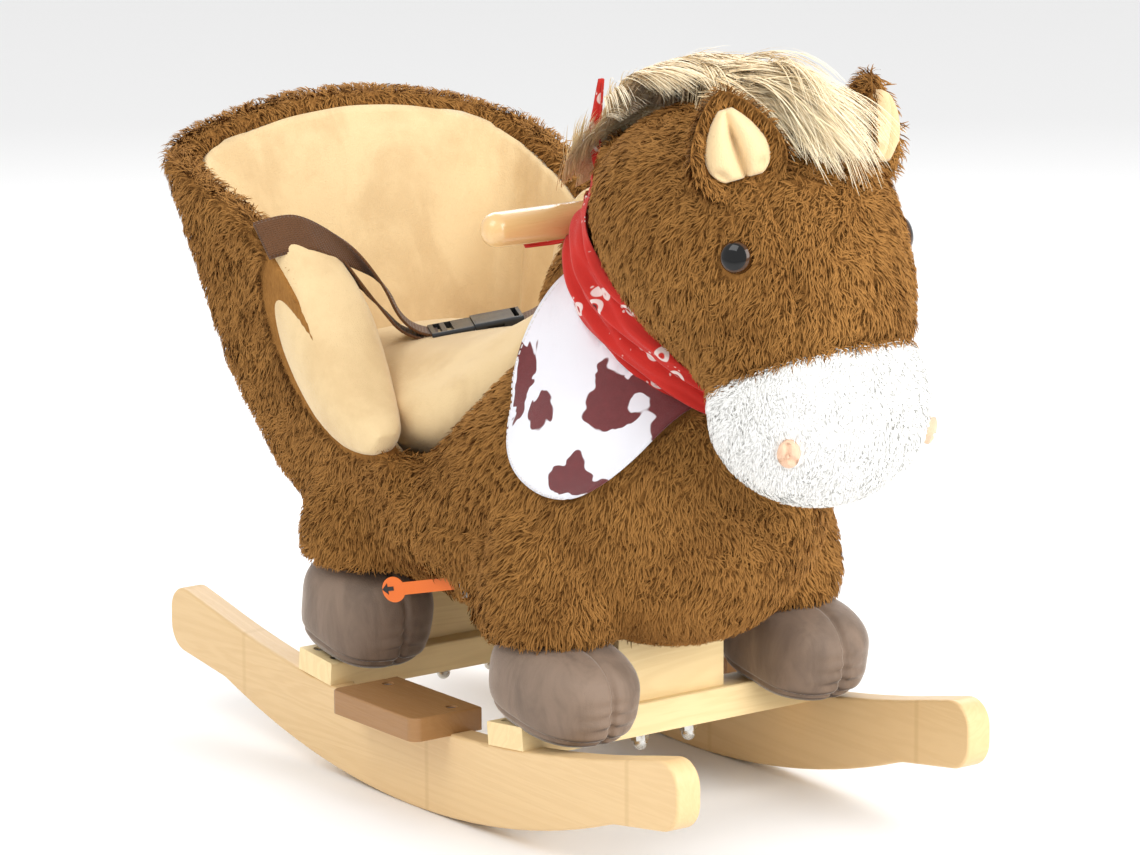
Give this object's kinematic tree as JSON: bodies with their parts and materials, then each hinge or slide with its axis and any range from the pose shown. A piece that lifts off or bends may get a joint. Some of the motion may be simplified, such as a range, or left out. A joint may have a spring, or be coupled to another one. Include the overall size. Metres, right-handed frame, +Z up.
{
  "type": "rocking horse",
  "caption": "Plush rocking horse for a toddler with a padded bucket seat and belt, a wooden grab handle and a wooden rocker base with foot rests.",
  "frame": {"origin": "on the floor, at the bottom centre of the whole horse standing level on its rockers", "axes": "+X forward towards the nose, +Y towards the horse's left, +Z up"},
  "size_m": [0.602, 0.2986, 0.4987],
  "materials": {
    "rocker_wood": "varnished light hardwood",
    "slat_wood": "bare pine",
    "rest_wood": "varnished darker wood",
    "core_wood": "bare plywood",
    "handle_wood": "clear gloss varnish",
    "zinc_steel": "bright zinc",
    "nickel_steel": "nickel plated",
    "brown_plush": "short pile plush",
    "white_plush": "short pile plush",
    "cream_velour": "brushed velour",
    "cream_fur": "long pile fur",
    "hoof_velvet": "grey brown velvet",
    "peach_felt": "embroidered felt",
    "red_cotton": "printed cotton",
    "bib_satin": "printed satin",
    "belt_webbing": "woven webbing",
    "black_plastic": "moulded",
    "eye_plastic": "polished",
    "case_plastic": "moulded",
    "tab_plastic": "thin film",
    "button_plastic": "moulded",
    "board_plastic": "circuit board",
    "cell_metal": "wrapped cells",
    "panel_board": "hardboard"
  },
  "bodies": {
    "horse": {"rocker_right": "rocker_wood", "rocker_left": "rocker_wood", "cross_slat_front": "slat_wood", "cross_slat_rear": "slat_wood", "foot_rest_right": "rest_wood", "foot_rest_left": "rest_wood", "slat_screws": "zinc_steel", "foot_rest_screws": "zinc_steel", "core_bolts": "zinc_steel", "bolt_washers": "zinc_steel", "dome_nuts": "nickel_steel", "core_front_board": "core_wood", "core_rear_board": "core_wood", "seat_board": "core_wood", "neck_post": "core_wood", "handle_bar": "handle_wood", "tub_panel": "panel_board", "tub_plush": "brown_plush", "tub_lining": "cream_velour", "seat_cushion": "cream_velour", "wing_pad_right": "cream_velour", "wing_pad_left": "cream_velour", "body_plush": "brown_plush", "neck_plush": "brown_plush", "head_plush": "brown_plush", "muzzle_plush": "white_plush", "nostril_patches": "peach_felt", "leg_front_right": "brown_plush", "leg_front_left": "brown_plush", "leg_rear_right": "brown_plush", "leg_rear_left": "brown_plush", "hoof_front_right": "hoof_velvet", "hoof_front_left": "hoof_velvet", "hoof_rear_right": "hoof_velvet", "hoof_rear_left": "hoof_velvet", "eyes": "eye_plastic", "eye_washers": "case_plastic", "ear_right": "brown_plush", "ear_left": "brown_plush", "ear_linings": "cream_velour", "mane": "cream_fur", "forelock": "cream_fur", "scarf_band": "red_cotton", "scarf_knot": "red_cotton", "scarf_tails": "red_cotton", "bibs": "bib_satin", "belt_strap_right": "belt_webbing", "belt_strap_left": "belt_webbing", "buckle_socket": "black_plastic", "sound_case": "case_plastic", "battery_cover": "case_plastic", "cover_screw": "zinc_steel", "battery_cells": "cell_metal", "sound_board": "board_plastic", "speaker": "black_plastic"},
    "buckle_plug": {"buckle_plug": "black_plastic"},
    "prong_right": {"buckle_prong_right": "black_plastic"},
    "prong_left": {"buckle_prong_left": "black_plastic"},
    "sound_button": {"sound_button": "button_plastic"},
    "pull_tab": {"pull_tab": "tab_plastic"}
  },
  "joints": [
    {"name": "buckle_slide", "type": "slide", "parent": "horse", "child": "buckle_plug", "axis": [-0.4698, -0.8688, -0.1564], "range_m": [0, 0.028]},
    {"name": "prong_right_squeeze", "type": "hinge", "parent": "buckle_plug", "child": "prong_right", "pos_m": [-0.0969, -0.01172, 0.27925], "axis": [-0.0744, -0.1376, 0.9877], "range_deg": [0, 6], "stiffness_Nm_per_rad": 0.05},
    {"name": "prong_left_squeeze", "type": "hinge", "parent": "buckle_plug", "child": "prong_left", "pos_m": [-0.1166, -0.00106, 0.27925], "axis": [-0.0744, -0.1376, 0.9877], "range_deg": [-6, 0], "stiffness_Nm_per_rad": 0.05},
    {"name": "sound_button_press", "type": "slide", "parent": "horse", "child": "sound_button", "axis": [-0.454, 0.891, 0], "range_m": [0, 0.0016], "stiffness_N_per_m": 400},
    {"name": "pull_tab_slide", "type": "slide", "parent": "horse", "child": "pull_tab", "axis": [-0.8731, -0.4449, -0.1994], "range_m": [0, 0.03]}
  ],
  "couplings": [
    {"joint": "prong_left_squeeze", "follows": "prong_right_squeeze", "ratio": -1}
  ]
}
